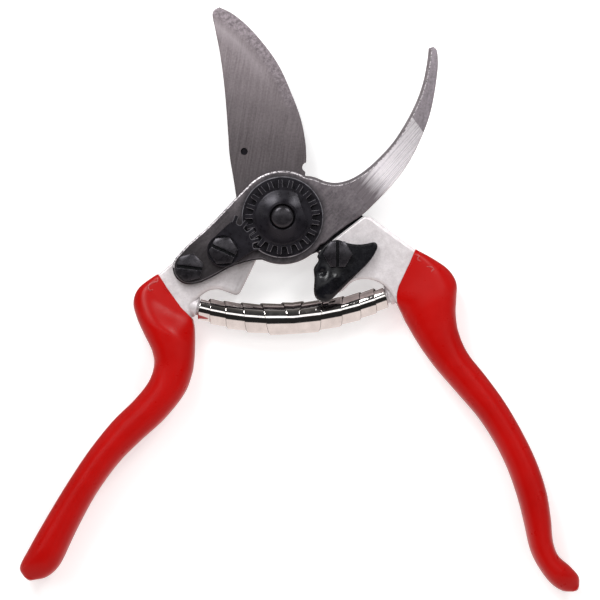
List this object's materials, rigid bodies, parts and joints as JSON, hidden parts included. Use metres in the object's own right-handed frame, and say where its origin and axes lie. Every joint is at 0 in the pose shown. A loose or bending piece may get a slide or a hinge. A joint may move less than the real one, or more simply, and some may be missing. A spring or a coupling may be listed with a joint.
{
  "type": "pruning shears",
  "caption": "One-hand bypass pruning shears with a curved cutting blade, hooked counter blade, toothed adjusting nut, volute spring, thumb catch and red sleeved handles.",
  "frame": {"origin": "on the pivot axis, in the plane of the pivot bolt's flat head that the shears lie on", "axes": "+Z along the pivot axis towards the adjusting nut, +Y towards the blade tips, +X towards the hooked counter blade"},
  "size_m": [0.1823, 0.1902, 0.0205],
  "materials": {
    "cast_aluminium": "fine blasted satin",
    "red_sleeve": "smooth soft sheen",
    "hook_steel": "ground lengthwise",
    "blade_steel": "fine ground",
    "black_steel": "blackened, oiled",
    "catch_black": "black coating",
    "spring_chrome": "bright nickel plate",
    "zinc_steel": "plated",
    "bronze": "turned",
    "black_rubber": "matt"
  },
  "bodies": {
    "hook_side": {"left_handle": "cast_aluminium", "left_grip": "red_sleeve", "counter_blade": "hook_steel", "tang_screw": "black_steel", "segment_screw": "black_steel", "toothed_segment": "black_steel", "adjusting_nut": "black_steel", "nut_washer": "black_steel", "pivot_bolt": "black_steel", "thrust_washer": "bronze"},
    "blade_side": {"right_handle": "cast_aluminium", "right_grip": "red_sleeve", "cutting_blade": "blade_steel", "blade_rivets": "zinc_steel", "pivot_bush": "bronze", "shock_absorber": "black_rubber", "catch_screw": "black_steel", "catch_bush": "zinc_steel", "catch_washer": "zinc_steel"},
    "catch": {"thumb_catch": "catch_black"},
    "spring": {"volute_spring": "spring_chrome"}
  },
  "joints": [
    {"name": "handle_pivot", "type": "hinge", "parent": "hook_side", "child": "blade_side", "pos_m": [0, 0, 0.0091], "axis": [0, 0, -1], "range_deg": [0, 64.5], "stiffness_Nm_per_rad": 1.07, "springref_deg": -21.2, "deforming": ["volute_spring"]},
    {"name": "spring_swing", "type": "hinge", "parent": "hook_side", "child": "spring", "pos_m": [-0.0276, -0.0293, 0.0072], "axis": [0, 0, -1], "range_deg": [0, 37]},
    {"name": "catch_turn", "type": "hinge", "parent": "blade_side", "child": "catch", "pos_m": [0.0178, -0.012, 0.0158], "axis": [0, 0, 1], "range_deg": [-10, 20]}
  ],
  "couplings": [
    {"joint": "spring_swing", "follows": "handle_pivot", "ratio": 0.561}
  ]
}
